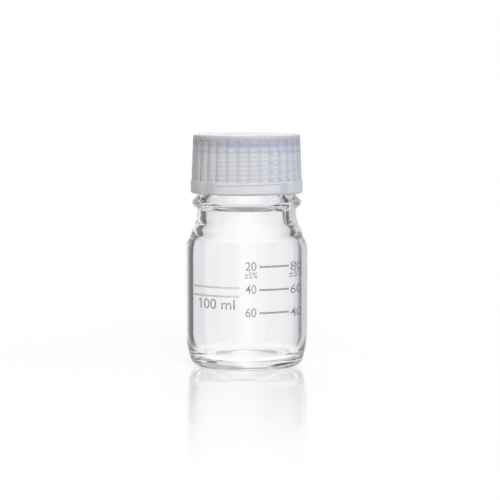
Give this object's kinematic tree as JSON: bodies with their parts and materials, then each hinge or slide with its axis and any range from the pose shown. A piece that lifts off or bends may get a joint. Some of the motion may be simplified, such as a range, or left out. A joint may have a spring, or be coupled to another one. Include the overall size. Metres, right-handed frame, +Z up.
{
  "type": "reagent bottle",
  "caption": "Clear glass laboratory bottle with a collar bead, pouring ring, sealed translucent screw cap and printed volume marks.",
  "frame": {"origin": "middle of the base, on the surface that the bottle stands on", "axes": "+Z up along the bottle's axis, the printed front faces -Y, +X to the right of the front"},
  "size_m": [0.056, 0.056, 0.1067],
  "materials": {
    "clear_glass": "polished clear borosilicate glass",
    "cap_plastic": "milky translucent fluoropolymer, satin",
    "ring_plastic": "milky translucent fluoropolymer, satin",
    "seal_rubber": "matt off-white silicone",
    "facing_film": "smooth white inert film",
    "enamel": "fired grey enamel print"
  },
  "bodies": {
    "bottle": {"bottle": "clear_glass", "pouring_ring": "ring_plastic", "volume_marks": "enamel", "label_rules": "enamel"},
    "seal": {"seal_disc": "seal_rubber", "seal_facing": "facing_film"},
    "cap": {"screw_cap": "cap_plastic"}
  },
  "joints": [
    {"name": "cap_lift", "type": "slide", "parent": "bottle", "child": "seal", "axis": [0, 0, 1], "range_m": [0, 0.026]},
    {"name": "cap_turn", "type": "hinge", "parent": "seal", "child": "cap", "pos_m": [0, 0, 0.0932], "axis": [0, 0, 1], "range_deg": [0, 2340]}
  ],
  "couplings": [
    {"joint": "cap_lift", "follows": "cap_turn", "m_per_rad": 0.00063662}
  ]
}
